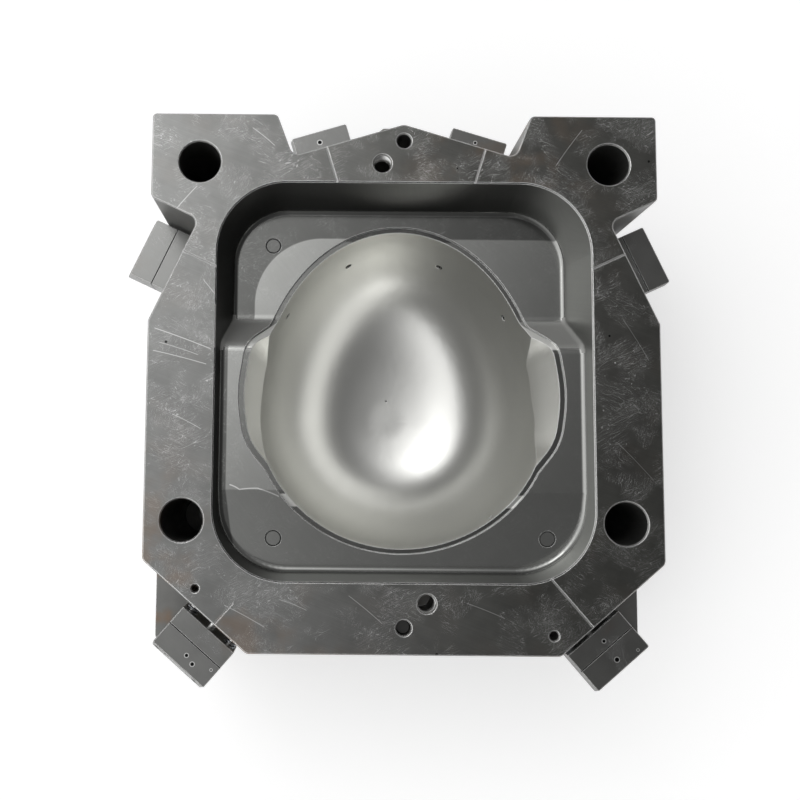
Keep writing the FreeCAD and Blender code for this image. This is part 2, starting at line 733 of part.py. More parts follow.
def plate_dowel(x, y, gap=0.0):
    """One of the dowels that line the block up with the clamp plate."""
    z = CLAMP_T - PLATE_DOWEL_L / 2
    return cylinder(PLATE_DOWEL_R + gap, PLATE_DOWEL_L, V(x, y, z))


def clamp_plate():
    """The plate that is clamped to the machine, with a ledge at each side."""
    width = PLATE_W + 2 * CLAMP_LEDGE
    plate = Part.makeBox(width, PLATE_L, CLAMP_T, V(-width / 2, -PLATE_L / 2, 0))
    plate = plate.makeChamfer(EDGE_BREAK, plate.Edges)
    cuts = sprue_void()
    cuts.append(cylinder(SPIGOT_R + THREAD_GAP, RING_RECESS, V(0, 0, 0)))
    groove = cylinder(RING_R + RING_GROOVE_W, RING_GROOVE_DEPTH, V(0, 0, 0))
    cuts.append(groove.cut(cylinder(SPIGOT_R + RING_LAND_W, RING_GROOVE_DEPTH, V(0, 0, 0))))
    cuts += [ring_screw(p, HEAD_GAP) for p in ring_screw_places()]
    for x, y in CLAMP_SCREW_PLACES:
        cuts += [clamp_screw(x, y, HEAD_GAP), cylinder(M16[1] + HEAD_GAP, M16[2], V(x, y, 0))]
    cuts += [plate_dowel(x, y, THREAD_GAP) for x, y in PLATE_DOWEL_PLACES]
    return plate.cut(cuts)


def cavity_block(cores, pocket):
    """The one-piece cavity block with everything that is cut into it."""
    block = block_body()
    mouth = Part.makeLoft([pocket_wire(EDGE_BREAK), pocket_wire(-EDGE_BREAK, 2 * EDGE_BREAK)], True, True)
    block = block.cut([pocket, mouth])
    block = block.cut(bowl_void())
    block = block.cut(band_void(pocket))
    cuts = face_holes() + sprue_void()
    cuts += [bush_seat(x, y, THREAD_GAP) for x, y in GUIDE_PLACES]
    plug_foot = FACE_Z - DEEP_FLOOR - PLUG_L
    cuts += [cylinder(PLUG_R + PLUG_GAP, FACE_Z, V(x, y, plug_foot)) for x, y in PLUG_PLACES]
    cuts += [clamp_screw(x, y, HEAD_GAP) for x, y in CLAMP_SCREW_PLACES]
    cuts += [plate_dowel(x, y, THREAD_GAP) for x, y in PLATE_DOWEL_PLACES]
    length = PLATE_W + 2 * EDGE_BREAK
    for y in CHANNEL_YS:
        start = V(-length / 2, y, CLAMP_T + CHANNEL_RISE)
        cuts.append(cylinder(CHANNEL_R, length, start, V(1, 0, 0)))
        cuts += [cool_plug(y, side, HEAD_GAP) for side in (-1, 1)]
    front = V(0, BOSS_Y + BOSS_R, FACE_Z - LIFT_DEPTH)
    cuts.append(cylinder(LIFT_R, LIFT_L + BOSS_FLAT, front, V(0, -1, 0)))
    for core in cores:
        cuts += core.flank_cuts()
    return block.cut(cuts)


def floor_plug(x, y, pocket):
    """A plug in the pocket floor, cut flush with it."""
    plug = cylinder(PLUG_R, BLOCK_H, V(x, y, FACE_Z - DEEP_FLOOR - PLUG_L))
    above = Part.makeBox(4 * PLUG_R, 4 * PLUG_R, BLOCK_H, V(x - 2 * PLUG_R, y - 2 * PLUG_R, FACE_Z))
    return plug.cut([pocket, above])


def face_dowel():
    """The dowel sunk in the lower hole of the parting face."""
    z = FACE_Z - DOWEL_L
    pin = cylinder(DOWEL_R, DOWEL_L - DOWEL_SUNK, V(0, BOTTOM_DOWEL_Y, z))
    rim = [e for e in pin.Edges if abs(e.BoundBox.ZMin - (FACE_Z - DOWEL_SUNK)) < NEAR]
    return pin.makeChamfer(EDGE_BREAK, rim)


def build():
    """All pieces by node name."""
    cores = [SideCore(station, side) for station in STATIONS for side in ("left", "right")]
    pocket = pocket_void()
    nodes = {
        "cavity_block": cavity_block(cores, pocket),
        "clamp_plate": clamp_plate(),
        "locating_ring": locating_ring(),
        "ring_screws": [ring_screw(p) for p in ring_screw_places()],
        "sprue_bush": sprue_bush(),
        "clamp_screws": [clamp_screw(x, y) for x, y in CLAMP_SCREW_PLACES],
        "plate_dowels": [plate_dowel(x, y) for x, y in PLATE_DOWEL_PLACES],
        "cooling_plugs": [cool_plug(y, side) for y in CHANNEL_YS for side in (-1, 1)],
        "face_dowel": face_dowel(),
    }
    for i, (x, y) in enumerate(GUIDE_PLACES, 1):
        nodes["guide_bush_" + str(i)] = guide_bush(x, y)
    for i, (x, y) in enumerate(PLUG_PLACES, 1):
        nodes["floor_plug_" + str(i)] = floor_plug(x, y, pocket)
    for core in cores:
        nodes["retainer_" + core.name] = core.retainer()
        nodes["heel_block_" + core.name] = core.heel()
        nodes["core_pin_" + core.name] = core.core_pin()
        nodes["join_screws_" + core.name] = core.join_screws()
        nodes["shoulder_bolts_" + core.name] = core.shoulder_bolts()
        nodes["springs_" + core.name] = core.springs()
    return nodes


os.makedirs("parts", exist_ok=True)
for node, shape in build().items():
    if isinstance(shape, list):
        shape = Part.makeCompound(shape)
    solids = shape.Solids
    if len(solids) == 1:
        shape = solids[0]
    shape.exportStep("parts/" + node + ".step")
    print(node, len(solids), "solids", round(shape.Volume / 1000, 2), "cm3", "valid", shape.isValid())
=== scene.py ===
"""Cavity half of an injection mould for a helmet shell, dressed and lit for one photograph."""

from __future__ import annotations

import json
import logging
import math
from dataclasses import dataclass, field
from enum import Enum

import bmesh
import bpy
from mathutils import Matrix, Vector


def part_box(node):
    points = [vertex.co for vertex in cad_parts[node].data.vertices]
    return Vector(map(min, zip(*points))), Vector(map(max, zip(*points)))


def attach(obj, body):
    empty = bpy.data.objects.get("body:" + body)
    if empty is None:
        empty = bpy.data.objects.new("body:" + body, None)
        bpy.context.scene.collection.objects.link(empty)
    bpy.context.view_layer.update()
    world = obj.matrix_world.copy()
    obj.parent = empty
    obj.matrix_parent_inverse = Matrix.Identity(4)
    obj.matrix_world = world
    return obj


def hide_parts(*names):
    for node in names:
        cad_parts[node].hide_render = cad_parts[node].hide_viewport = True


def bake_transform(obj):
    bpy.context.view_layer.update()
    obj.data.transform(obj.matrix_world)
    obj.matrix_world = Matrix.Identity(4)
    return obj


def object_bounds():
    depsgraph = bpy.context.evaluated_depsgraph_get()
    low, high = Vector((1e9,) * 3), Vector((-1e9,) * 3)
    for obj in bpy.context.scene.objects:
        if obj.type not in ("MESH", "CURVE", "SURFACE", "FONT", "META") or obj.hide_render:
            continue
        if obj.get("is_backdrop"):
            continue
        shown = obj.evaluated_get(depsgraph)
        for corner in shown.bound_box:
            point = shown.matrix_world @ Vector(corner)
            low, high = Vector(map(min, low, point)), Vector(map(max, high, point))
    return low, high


LOG = logging.getLogger("mould")
MM = 0.001
MICRON = 1e-6
WHITE = (1, 1, 1, 1)
ROOT = "mould_half"
CORES = tuple(station + "_" + side for station in ("top", "middle", "bottom") for side in ("left", "right"))


class Side(Enum):
    """The two sides of the mould."""

    LEFT = "left"
    RIGHT = "right"


@dataclass(frozen=True)
class Cavity:
    """Sizes of the block that its finish needs, in metres."""

    face_z: float = 276 * MM
    bowl_x: float = 144.5 * MM
    bowl_front: float = 187.6 * MM
    bowl_back: float = 140.4 * MM
    bowl_y: float = -26 * MM
    shelf: float = 16 * MM
    deep: float = 50 * MM
    foot_slope: float = 15 / 87
    ramp_top: float = 35 * MM
    ramp_foot: float = 66 * MM
    shelf_end: float = -109 * MM
    band_drop: float = 3 * MM
    pocket_x: float = 184 * MM
    pocket_top: float = 195 * MM
    pocket_bottom: float = 196 * MM
    pocket_r: float = 70 * MM


CAVITY = Cavity()


class Signal:
    """A shader socket that takes part in plain arithmetic."""

    def __init__(self, tree: "Tree", socket: bpy.types.NodeSocket) -> None:
        """Wrap one output socket of a tree."""
        self.tree = tree
        self.socket = socket

    def __add__(self, other: "Signal | float") -> "Signal":
        """Sum of two values."""
        return self.tree.math("ADD", self, other)

    def __radd__(self, other: float) -> "Signal":
        """Sum of two values."""
        return self.tree.math("ADD", other, self)

    def __sub__(self, other: "Signal | float") -> "Signal":
        """Difference of two values."""
        return self.tree.math("SUBTRACT", self, other)

    def __rsub__(self, other: float) -> "Signal":
        """Difference of two values."""
        return self.tree.math("SUBTRACT", other, self)

    def __mul__(self, other: "Signal | float") -> "Signal":
        """Product of two values."""
        return self.tree.math("MULTIPLY", self, other)

    def __rmul__(self, other: float) -> "Signal":
        """Product of two values."""
        return self.tree.math("MULTIPLY", other, self)

    def __truediv__(self, other: "Signal | float") -> "Signal":
        """Quotient of two values."""
        return self.tree.math("DIVIDE", self, other)

    def __rtruediv__(self, other: float) -> "Signal":
        """Quotient of two values."""
        return self.tree.math("DIVIDE", other, self)

    def __pow__(self, other: float) -> "Signal":
        """Power of a value."""
        return self.tree.math("POWER", self, other)

    def __gt__(self, other: "Signal | float") -> "Signal":
        """One where the value is above the other."""
        return self.tree.math("GREATER_THAN", self, other)

    def __lt__(self, other: "Signal | float") -> "Signal":
        """One where the value is below the other."""
        return self.tree.math("LESS_THAN", self, other)

    def __abs__(self) -> "Signal":
        """Size of a value without its sign."""
        return self.tree.math("ABSOLUTE", self)

    def highest(self, other: "Signal | float") -> "Signal":
        """The larger of two values."""
        return self.tree.math("MAXIMUM", self, other)

    def lowest(self, other: "Signal | float") -> "Signal":
        """The smaller of two values."""
        return self.tree.math("MINIMUM", self, other)

    def step(self, low: float, high: float) -> "Signal":
        """Smooth step from 0 at low to 1 at high."""
        node = self.tree.node(
            "ShaderNodeMapRange",
            {"interpolation_type": "SMOOTHSTEP"},
            {"Value": self, "From Min": low, "From Max": high},
        )
        return Signal(self.tree, node.outputs["Result"])


class Tree:
    """The node tree of a material or a world, built through a few plain calls."""

    bevel_samples: int = 4
    edge_turn: tuple[float, float] = (0.003, 0.035)

    def __init__(self, owner: "bpy.types.Material | bpy.types.World", output: str = "Object") -> None:
        """Clear the owner's tree.

        Args:
            owner: The material or world.
            output: Which texture coordinate the patterns follow.
        """
        owner.use_nodes = True
        self.material = owner
        self.nodes = owner.node_tree.nodes
        self.links = owner.node_tree.links
        self.nodes.clear()
        self.place = Signal(self, self.node("ShaderNodeTexCoord", {}, {}).outputs[output])

    def node(self, kind: str, settings: dict, inputs: dict) -> bpy.types.Node:
        """Add any node.

        Args:
            kind: The node's type.
            settings: Its own settings.
            inputs: Values or links of its sockets, by name or number.

        Returns:
            The new node.
        """
        node = self.nodes.new(kind)
        for key, value in settings.items():
            setattr(node, key, value)
        for key, value in inputs.items():
            socket = node.inputs[key]
            if isinstance(value, Signal):
                self.links.new(value.socket, socket)
            else:
                socket.default_value = value
        return node

    def vector(self, operation: str, output: str, *values: "Signal | tuple[float, float, float]") -> Signal:
        """One Vector Math node on one or two vectors."""
        node = self.node("ShaderNodeVectorMath", {"operation": operation}, dict(enumerate(values)))
        return Signal(self, node.outputs[output])

    def math(self, operation: str, *values: "Signal | float") -> Signal:
        """One Math node on one or two values."""
        node = self.node("ShaderNodeMath", {"operation": operation}, dict(enumerate(values)))
        return Signal(self, node.outputs[0])

    def axes(self, vector: Signal) -> tuple[Signal, Signal, Signal]:
        """A vector's three parts."""
        node = self.node("ShaderNodeSeparateXYZ", {}, {"Vector": vector})
        return tuple(Signal(self, out) for out in node.outputs)

    def surface(self, output: str) -> Signal:
        """One of the surface's own directions."""
        return Signal(self, self.node("ShaderNodeNewGeometry", {}, {}).outputs[output])

    def dot(self, first: Signal, second: "Signal | tuple[float, float, float]") -> Signal:
        """How far two directions agree."""
        return self.vector("DOT_PRODUCT", "Value", first, second)

    def rounded(self, radius: float) -> tuple[Signal, Signal]:
        """Round the edges a little.

        Args:
            radius: Radius of the rounding in metres.

        Returns:
            The rounded direction of the surface, and a mask of the edges, which the finishes give some wear
            and a painted highlight.
        """
        node = self.node("ShaderNodeBevel", {"samples": self.bevel_samples}, {"Radius": radius})
        bent = Signal(self, node.outputs[0])
        return bent, (1 - self.dot(bent, self.surface("Normal"))).step(*self.edge_turn)

    def stretched(self, turn: float, scale: tuple[float, float, float]) -> Signal:
        """Object coordinates turned about Z and stretched."""
        turned = self.node("ShaderNodeMapping", {}, {"Vector": self.place, "Rotation": (0, 0, turn)})
        out = Signal(self, turned.outputs["Vector"])
        wide = self.node("ShaderNodeMapping", {}, {"Vector": out, "Scale": scale})
        return Signal(self, wide.outputs["Vector"])

    def noise(self, scale: float, detail: float = 3.0, where: Signal | None = None) -> Signal:
        """Soft noise between 0 and 1."""
        inputs = {"Vector": where or self.place, "Scale": scale, "Detail": detail}
        return Signal(self, self.node("ShaderNodeTexNoise", {}, inputs).outputs[0])

    def cells(self, feature: str, scale: float, where: Signal | None = None) -> bpy.types.Node:
        """A cell pattern."""
        inputs = {"Vector": where or self.place, "Scale": scale}
        return self.node("ShaderNodeTexVoronoi", {"feature": feature}, inputs)

    def colour(self, rgb: tuple[float, float, float]) -> Signal:
        """A plain colour as a socket."""
        node = self.node("ShaderNodeRGB", {}, {})
        node.outputs[0].default_value = (*rgb, 1)
        return Signal(self, node.outputs[0])

    def mix(self, factor: "Signal | float", first: Signal, second: Signal) -> Signal:
        """Blend two colours."""
        node = self.node("ShaderNodeMix", {"data_type": "RGBA"}, {"Factor": factor, 6: first, 7: second})
        return Signal(self, node.outputs[2])

    def fade(self, factor: Signal, first: "Signal | float", second: float) -> Signal:
        """Blend a value towards a number."""
        return factor * second + (1 - factor) * first

    def tinted(self, colour: Signal, gain: Signal) -> Signal:
        """Multiply a colour by a number."""
        node = self.node("ShaderNodeVectorMath", {"operation": "SCALE"}, {0: colour, "Scale": gain})
        return Signal(self, node.outputs[0])

    def finish(self, base: Signal, roughness: Signal, height: Signal, metallic: "Signal | float" = 1.0,
               bent: Signal | None = None) -> None:
        """Join everything to a steel shader.

        Args:
            base: Base colour.
            roughness: Roughness.
            height: Height in metres for the bump.
            metallic: Metallic value.
            bent: Rounded direction of the surface, where its edges are rounded.
        """
        inputs = {"Base Color": base, "Roughness": roughness, "Metallic": metallic}
        sockets = {"Height": height, "Distance": 1.0, "Strength": 1.0}
        if bent is not None:
            sockets["Normal"] = bent
        bump = self.node("ShaderNodeBump", {}, sockets)
        inputs["Normal"] = Signal(self, bump.outputs["Normal"])
        shader = self.node("ShaderNodeBsdfPrincipled", {}, inputs)
        out = self.node("ShaderNodeOutputMaterial", {}, {})
        self.links.new(shader.outputs[0], out.inputs["Surface"])


@dataclass(frozen=True)
class Scratch:
    """One long scratch on the parting face or the pocket's shelf, in millimetres seen from above."""

    start: tuple[float, float]
    end: tuple[float, float]
    width: float = 0.35
    tone: float = 1.0


SCRATCHES = (
    Scratch((-243, 48), (-188, 28), 0.5),
    Scratch((-244, 26), (-192, 13), 0.4),
    Scratch((-238, 34), (-200, 22), 0.3),
    Scratch((-196, 96), (-176, 70), 0.3),
    Scratch((-212, 236), (-186, 214), 0.4),
    Scratch((-232, 158), (-205, 190), 0.3),
    Scratch((-224, -36), (-196, -50), 0.3),
    Scratch((-170, -218), (-132, -238), 0.4),
    Scratch((-118, -212), (-92, -222), 0.3),
    Scratch((-52, -208), (-20, -234), 0.3),
    Scratch((60, -214), (96, -228), 0.3),
    Scratch((150, 214), (176, 250), 0.3),
    Scratch((-150, 250), (-128, 232), 0.3),
    Scratch((214, 60), (238, 20), 0.3, 0.5),
    Scratch((206, -60), (240, -96), 0.3, 0.5),
    Scratch((-169, -103.6), (-158.8, -108.6), 0.9),
    Scratch((-159.4, -108.3), (-140.6, -107.0), 0.9),
    Scratch((-141.6, -107.0), (-120.5, -114.8), 0.9),
)
# Punched marks on the side cores' tops (x, y, radius in mm), drawn as painted shade in each hole with a
# painted highlight round it.
PUNCH_MARKS = (
    (-84.1, 277.6, 2.3),
    (89.2, 278.5, 1.6),
    (-209.6, -271.2, 1.7),
    (-203.9, -279.6, 1.9),
    (-185.3, -285.0, 0.9),
    (198.9, -253.7, 1.6),
    (211.3, -271.4, 2.2),
    (232.0, -261.9, 0.9),
)
HOLE_FADE = 0.3
RIM_OUT = 0.4
RIM_FADE = 0.5
PLUG_PLACES = ((-131.5, 145.7), (-126.4, -156.4), (144.0, -155.0))
PLUG_R = 7.4


@dataclass(frozen=True)
class Zones:
    """Where a point of the block lies: its coordinates, and masks of the regions there."""

    x: Signal
    y: Signal
    z: Signal
    face: Signal
    pocket: Signal
    floor: Signal
    bowl: Signal
    outside: Signal
    steep: Signal
    ramp: Signal
    band: Signal


@dataclass(frozen=True)
class Grime:
    """The patterns that the block's finishes share."""

    soft: Signal
    cloud: Signal
    grain: Signal
    ground: Signal
    swirl: Signal
    rust: Signal
    marks: Signal
    lines: Signal
    pits: Signal
    rings: Signal


@dataclass(frozen=True)
class BlockSteel:
    """Tool steel of the cavity block: ground face, milled pocket, polished bowl, raw sides."""

    name: str = "mould_steel"
    # Parting face tones: painted light on the left, painted shade on the right.
    face_painted_lit: tuple[float, float, float] = (0.222, 0.224, 0.219)
    face_painted_shade: tuple[float, float, float] = (0.108, 0.108, 0.101)
    pocket: tuple[float, float, float] = (0.330, 0.333, 0.322)
    bowl: tuple[float, float, float] = (0.76, 0.76, 0.735)
    ramp: tuple[float, float, float] = (0.30, 0.30, 0.29)
    side: tuple[float, float, float] = (0.21, 0.21, 0.203)
    rust: tuple[float, float, float] = (0.26, 0.165, 0.10)
    # Pale colour of the worn scratches and of the painted edge highlights.
    wear_and_highlight: tuple[float, float, float] = (1.0, 1.0, 0.99)
    rough_face: float = 0.34
    rough_pocket: float = 0.11
    rough_side: float = 0.46
    rough_bowl: float = 0.285
    rough_edge: float = 0.24
    rough_ramp: float = 0.5
    edge_r: float = 1.1 * MM
    face_skin: float = 0.3 * MM
    lip_skin: float = 2 * MM
    wall_skin: float = 1 * MM
    pocket_reach: float = 100 * MM
    flat: tuple[float, float] = (0.90, 0.97)
    sloping: tuple[float, float] = (0.30, 0.50)
    band_span: tuple[float, float] = (1.2 * MM, 4.6 * MM)
    ramp_spare: float = 6 * MM
    # Slant and soft edge of the painted shadow of the upper and left walls.
    wall_shadow_lean: tuple[float, float] = (0.68, 0.82)
    wall_shadow_fade: float = 0.8 * MM
    bowl_share: float = 1.002
    scoop_drop: float = 0.6 * MM
    scoop_x: tuple[float, float] = (100 * MM, 163 * MM)
    scoop_low: float = -125 * MM
    scoop_lean: float = 1.0735
    scoop_end: float = 196 * MM
    bore_r: float = 2.75 * MM
    ring_w: float = 0.9 * MM
    scratch_bend: float = 2 * MM
    mark_line: float = 0.008
    mark_turns: tuple[tuple[float, float], ...] = ((0.5, 21.0), (1.9, 26.0), (2.7, 17.0))
    pit_scale: float = 95.0
    pit_size: float = 0.13
    pit_share: float = 0.965
    rust_corner: tuple[float, float] = (0.25, 0.264)
    rust_top: tuple[float, float] = (95 * MM, 180 * MM)

    def bowl_mask(self, t: Tree, x: Signal, y: Signal, z: Signal) -> Signal:
        """One inside the bowl and its ear scoops, zero elsewhere."""
        c = CAVITY
        ahead = y - c.bowl_y
        reach = t.fade(ahead > 0.0, c.bowl_back, c.bowl_front)
        share = (x / c.bowl_x) ** 2.0 + (ahead / reach) ** 2.0
        deep = z < (c.face_z - c.shelf - c.band_drop - self.scoop_drop)
        near, far = self.scoop_x
        beside = (abs(x) > near) * (abs(x) < far)
        ahead_of = (abs(x) + y * self.scoop_lean) < self.scoop_end
        scoop = deep * ahead_of * (y > self.scoop_low) * beside
        return (share < self.bowl_share).highest(scoop)

    @staticmethod
    def sunk(y: Signal, z: Signal) -> Signal:
        """How far a point lies under the stepped pocket floor, in metres."""
        c = CAVITY
        ramp = ((y - c.ramp_top) / (c.ramp_foot - c.ramp_top)).highest(0.0).lowest(1.0)
        foot = (c.shelf_end - y).highest(0.0) * c.foot_slope
        return (c.face_z - c.shelf - z) - ramp * (c.deep - c.shelf) - foot

    def painted_wall_shadow(self, zone: Zones) -> Signal:
        """The painted shadow that the upper and left walls cast on the pocket floor, as a mask."""
        c = CAVITY
        depth = (c.face_z - zone.z).highest(0.0)
        across = abs(zone.x - depth * self.wall_shadow_lean[0])
        along = abs(zone.y + depth * self.wall_shadow_lean[1])
        past_x = (across - (c.pocket_x - c.pocket_r)).highest(0.0)
        past_y = (along - (c.pocket_top - c.pocket_r)).highest(0.0)
        reach = (past_x ** 2.0 + past_y ** 2.0) ** 0.5
        return (reach - c.pocket_r).step(-self.wall_shadow_fade, self.wall_shadow_fade)

    def painted_bore_shade(self, t: Tree) -> Signal:
        """Painted shade inside the small bores that the core pins come through, as a mask."""
        dark = None
        for core in CORES:
            out, tip = pin_line(core)
            shift = t.vector("SUBTRACT", "Vector", t.place, tip)
            reach = t.vector("LENGTH", "Value", t.vector("CROSS_PRODUCT", "Vector", shift, out))
            within = (reach < self.bore_r) * (t.dot(t.place, out) > 0.0)
            dark = within if dark is None else dark.highest(within)
        return dark

    def plug_rings(self, x: Signal, y: Signal) -> Signal:
        """The thin dark joints round the plugs of the pocket floor, as a mask."""
        rings = None
        for across, along in PLUG_PLACES:
            reach = ((x - across * MM) ** 2.0 + (y - along * MM) ** 2.0) ** 0.5
            ring = (1 - (abs(reach - PLUG_R * MM) / self.ring_w) ** 2.0).highest(0.0)
            rings = ring if rings is None else rings.highest(ring)
        return rings

    def scratches(self, x: Signal, y: Signal) -> Signal:
        """The long scratches, as a mask."""
        total = None
        for scratch in SCRATCHES:
            start = Vector(scratch.start) * MM
            along = Vector(scratch.end) * MM - start
            length = along.length
            along /= length
            far = (x - start.x) * along.x + (y - start.y) * along.y
            off = (y - start.y) * along.x - (x - start.x) * along.y
            bend = (far / length - 0.5) ** 2.0 * self.scratch_bend
            near = (1 - abs(off + bend) / (scratch.width * MM)).highest(0.0)
            line = near * (far > 0.0) * (far < length) * scratch.tone
            total = line if total is None else total.highest(line)
        return total

    def fine_marks(self, t: Tree) -> Signal:
        """Short fine scratches in many directions, as a mask."""
        marks = None
        for turn, scale in self.mark_turns:
            cell = t.cells("DISTANCE_TO_EDGE", scale, t.stretched(turn, (3.0, 34.0, 3.0)))
            patch = t.noise(9.0 + scale, 2.0).step(0.50, 0.60)
            line = (Signal(t, cell.outputs["Distance"]) < self.mark_line) * patch
            marks = line if marks is None else marks.highest(line)
        return marks

    def pits(self, t: Tree) -> Signal:
        """Scattered small pits, as a mask."""
        cell = t.cells("F1", self.pit_scale)
        seed = t.axes(Signal(t, cell.outputs["Color"]))[0]
        return (Signal(t, cell.outputs["Distance"]) < self.pit_size) * (seed > self.pit_share)

    def zones(self, t: Tree) -> Zones:
        """Work out the regions of the block.

        Args:
            t: The tree that takes the nodes.

        Returns:
            The coordinates and the masks.
        """
        c = CAVITY
        x, y, z = t.axes(t.place)
        level = abs(t.axes(t.surface("True Normal"))[2])
        up = level.step(*self.flat)
        steep = 1 - level.step(*self.sloping)
        face = (z > c.face_z - self.face_skin) * up
        bowl = self.bowl_mask(t, x, y, z) * (z < c.face_z - self.lip_skin)
        within = (abs(x) < c.pocket_x + self.wall_skin) * (y < c.pocket_top + self.wall_skin)
        within = within * (y > -c.pocket_bottom - self.wall_skin)
        pocket = within * (z < c.face_z) * (z > c.face_z - self.pocket_reach)
        outside = (1 - face) * (1 - pocket) * (1 - bowl)
        lower = self.sunk(y, z)
        shallow, deep = self.band_span
        band = within * (lower > shallow) * (lower < deep) * (level > self.sloping[1])
        on_ramp = (y > c.ramp_top - self.ramp_spare) * (y < c.ramp_foot + self.ramp_spare)
        ramp = pocket * (1 - up) * (1 - steep) * on_ramp
        return Zones(x, y, z, face, pocket, pocket * up, bowl, outside, steep, ramp, band)

    def grime(self, t: Tree, zone: Zones) -> Grime:
        """Lay out the shared patterns.

        Args:
            t: The tree that takes the nodes.
            zone: The regions of the block.

        Returns:
            The patterns.
        """
        x, y = zone.x, zone.y
        ground = t.noise(6.0, 3.0, t.stretched(0.35, (4.0, 240.0, 4.0)))
        swirl = t.noise(5.0, 3.0, t.stretched(0.9, (5.0, 160.0, 5.0)))
        left, low = self.rust_corner
        corner = (0.30 - (x + left).highest(0.0) - (y + low).highest(0.0)).step(0.05, 0.22)
        middle, above = self.rust_top
        upper = (1 - abs(x - middle) / 0.10).highest(0.0) * (y > above)
        rust = (t.noise(24.0, 6.0).step(0.48, 0.68) * (corner + upper * 0.8 + 0.10)).lowest(1.0)
        return Grime(
            soft=t.noise(7.0, 4.0),
            cloud=t.noise(38.0, 5.0),
            grain=t.noise(900.0, 3.0),
            ground=ground,
            swirl=swirl,
            rust=rust,
            marks=self.fine_marks(t) * 0.8,
            lines=self.scratches(x, y),
            pits=self.pits(t) * zone.face,
            rings=self.plug_rings(x, y) * zone.floor,
        )

    def face_tone(self, t: Tree, zone: Zones, grime: Grime, worn: Signal) -> Signal:
        """Colour of the ground parting face, with painted light on the left fading to painted shade on the
        right.
        """
        # Painted light and shade: the face fades from lighter on the left to darker on the right.
        painted_light_falloff = (zone.x + zone.y * 0.15 + grime.soft * 0.09).step(-0.20, 0.19)
        tone = t.mix(painted_light_falloff, t.colour(self.face_painted_lit), t.colour(self.face_painted_shade))
        tone = t.tinted(tone, 0.72 + grime.cloud * 0.56)
        tone = t.tinted(tone, 0.88 + grime.ground * 0.24)
        tone = t.mix(grime.rust * 0.36, tone, t.colour(self.rust))
        tone = t.mix(worn * 0.6, tone, t.colour(self.wear_and_highlight))
        return t.tinted(tone, 1 - grime.pits * 0.75)

    def pocket_tone(self, t: Tree, zone: Zones, grime: Grime) -> Signal:
        """Colour of the milled pocket, with painted shade on its upper and left walls, the painted shadow
        of those walls on its floor, and a darker band round the bowl.
        """
        tone = t.tinted(t.colour(self.pocket), 0.91 + grime.swirl * 0.10 + grime.cloud * 0.10)
        tone = t.tinted(tone, 1 - grime.rings * 0.85)
        tone = t.tinted(tone, 1 - zone.band * 0.45)
        # Painted shade: the upper and left walls of the pocket are darkened, the lower and right ones are
        # not.
        painted_wall_shade = (zone.x - zone.y * 0.8 + grime.soft * 0.04).step(-0.10, 0.17)
        tone = t.tinted(tone, (1 - zone.steep).highest(0.36 + painted_wall_shade * 0.64))
        # Painted shadow of the upper and left walls, laid on the pocket's floor and ramp.
        tone = t.tinted(tone, 1 - self.painted_wall_shadow(zone) * (1 - zone.steep) * 0.62)
        tone = t.mix(zone.ramp, tone, t.colour(self.ramp))
        scored = (grime.marks * 0.30).highest(grime.lines) * zone.floor
        return t.mix(scored * 0.8, tone, t.colour(self.wear_and_highlight))

    def roughness(self, t: Tree, zone: Zones, grime: Grime, worn: Signal) -> Signal:
        """Roughness of all regions but the worn edges and the ramp."""
        rough = self.rough_face + grime.cloud * 0.12 - worn * 0.10 + grime.pits * 0.3
        rough = t.fade(zone.pocket, rough, self.rough_pocket)
        rough = rough + zone.floor * (0.05 - grime.swirl * 0.05)
        rough = rough + grime.rings * 0.3 + zone.pocket * zone.steep * 0.23
        rough = t.fade(zone.outside, rough, self.rough_side)
        return t.fade(zone.bowl, rough, self.rough_bowl) + (grime.grain - 0.5) * 0.04

    @staticmethod
    def relief(zone: Zones, grime: Grime, worn: Signal) -> Signal:
        """Height of the grinding, the scratches, the pits and the milling, in metres."""
        height = (grime.ground * 6 + grime.grain * 3) * (1 - zone.bowl)
        height = height - (worn * 20 + grime.pits * 150)
        height = height + (grime.swirl * zone.floor * 4 + zone.bowl * grime.soft * 8)
        return height * MICRON

    def build(self) -> bpy.types.Material:
        """Make the material.

        Returns:
            The finished material.
        """
        t = Tree(bpy.data.materials.new(self.name))
        zone = self.zones(t)
        grime = self.grime(t, zone)
        worn = grime.marks.highest(grime.lines) * zone.face
        raw = t.tinted(t.colour(self.side), 0.70 + grime.cloud * 0.55)
        raw = t.mix(grime.rust * 0.8, raw, t.colour(self.rust))
        polish = t.tinted(t.colour(self.bowl), 0.94 + grime.soft * 0.12)
        base = t.mix(zone.pocket, self.face_tone(t, zone, grime, worn), self.pocket_tone(t, zone, grime))
        base = t.mix(zone.outside, base, raw)
        base = t.mix(zone.bowl, base, polish)
        # Painted shade inside the core pins' bores.
        base = t.tinted(base, 1 - self.painted_bore_shade(t) * zone.bowl * 0.93)
        rough = self.roughness(t, zone, grime, worn)
        bent, edge = t.rounded(self.edge_r)
        edge = edge * (1 - (grime.rings * 4).lowest(1.0))
        # Painted highlight along the edges, with some real wear: a pale colour and less metal.
        edge_wear_and_highlight = edge * (0.75 + grime.cloud * 0.40)
        base = t.mix(edge_wear_and_highlight, base, t.colour(self.wear_and_highlight))
        rough = t.fade(edge, rough, self.rough_edge)
        rough = t.fade(zone.ramp, rough, self.rough_ramp)
        metal = (1 - edge_wear_and_highlight * (0.5 + zone.pocket * 0.40)) * (1 - zone.ramp * 0.7)
        t.finish(base, rough, self.relief(zone, grime, worn), metallic=metal, bent=bent)
        return t.material


